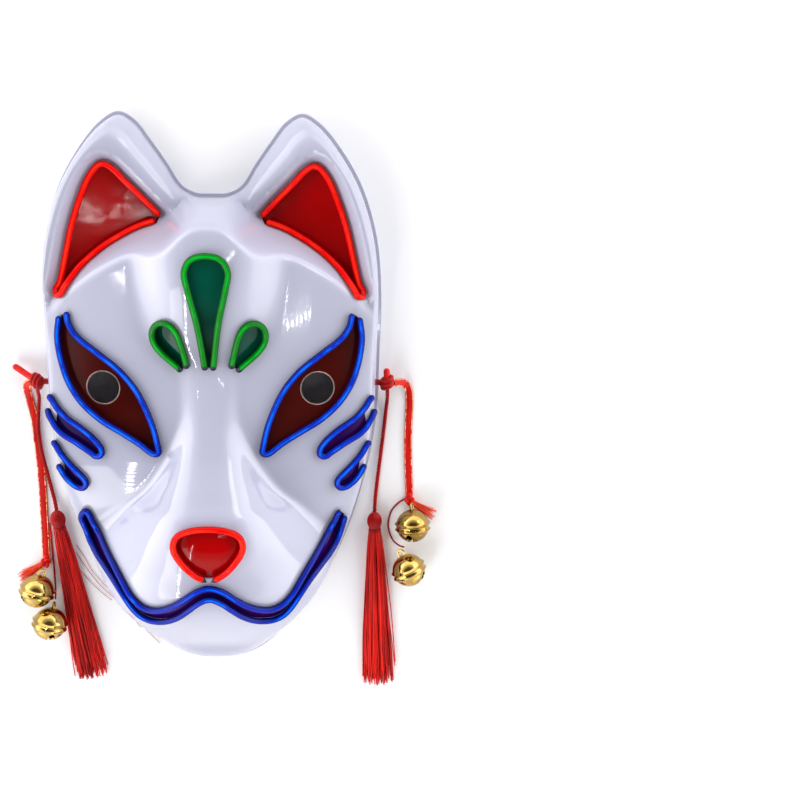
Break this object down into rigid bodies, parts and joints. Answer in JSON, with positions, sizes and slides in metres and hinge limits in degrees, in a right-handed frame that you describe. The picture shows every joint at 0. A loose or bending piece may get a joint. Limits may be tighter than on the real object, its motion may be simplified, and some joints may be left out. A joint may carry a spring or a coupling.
{
  "type": "fox mask",
  "caption": "Hollow white plastic fox mask with tinted windows outlined in soft glowing wire, and a ribbon with bells and a tassel at each side.",
  "frame": {"origin": "centre of the mask's plan outline, in the plane of the rim that it lies on", "axes": "+Z out of the face, +Y towards the ears, +X to the viewer's right"},
  "size_m": [0.2224, 0.2982, 0.0613],
  "materials": {
    "shell_white": "smooth glossy vacuum-formed white plastic",
    "window_red": "glossy tinted translucent film, deep red",
    "lens_smoked": "glossy smoked translucent film, brown-red",
    "window_green": "glossy tinted translucent film, dark teal green",
    "window_violet": "glossy tinted translucent film, dark violet",
    "wire_red": "soft glossy sleeve of a glowing wire, red",
    "wire_blue": "soft glossy sleeve of a glowing wire, blue",
    "wire_green": "soft glossy sleeve of a glowing wire, green",
    "satin_cord": "red satin cord and ribbon with gold threads",
    "bell_brass": "polished brass"
  },
  "bodies": {
    "root": {"mask_shell": "shell_white", "ear_window_left": "window_red", "eye_lens_left": "lens_smoked", "forehead_window_left": "window_green", "cheek_window_upper_left": "window_violet", "cheek_window_lower_left": "window_violet", "ear_wire_left": "wire_red", "eye_wire_left": "wire_blue", "forehead_wire_left": "wire_green", "cheek_wire_upper_left": "wire_blue", "cheek_wire_lower_left": "wire_blue", "ear_window_right": "window_red", "eye_lens_right": "lens_smoked", "forehead_window_right": "window_green", "cheek_window_upper_right": "window_violet", "cheek_window_lower_right": "window_violet", "ear_wire_right": "wire_red", "eye_wire_right": "wire_blue", "forehead_wire_right": "wire_green", "cheek_wire_upper_right": "wire_blue", "cheek_wire_lower_right": "wire_blue", "forehead_window_centre": "window_green", "nose_window": "window_red", "mouth_window": "window_violet", "forehead_wire_centre": "wire_green", "nose_wire": "wire_red", "mouth_wire": "wire_blue", "tie_knot_left": "satin_cord", "ribbon_left": "satin_cord", "ribbon_tail_left": "satin_cord", "tassel_cord_left": "satin_cord", "tassel_left": "satin_cord", "bell_thread_left": "satin_cord", "bell_upper_left": "bell_brass", "bell_lower_left": "bell_brass", "tie_knot_right": "satin_cord", "ribbon_right": "satin_cord", "ribbon_tail_right": "satin_cord", "tassel_cord_right": "satin_cord", "tassel_right": "satin_cord", "bell_thread_right": "satin_cord", "bell_upper_right": "bell_brass", "bell_lower_right": "bell_brass"}
  },
  "joints": []
}
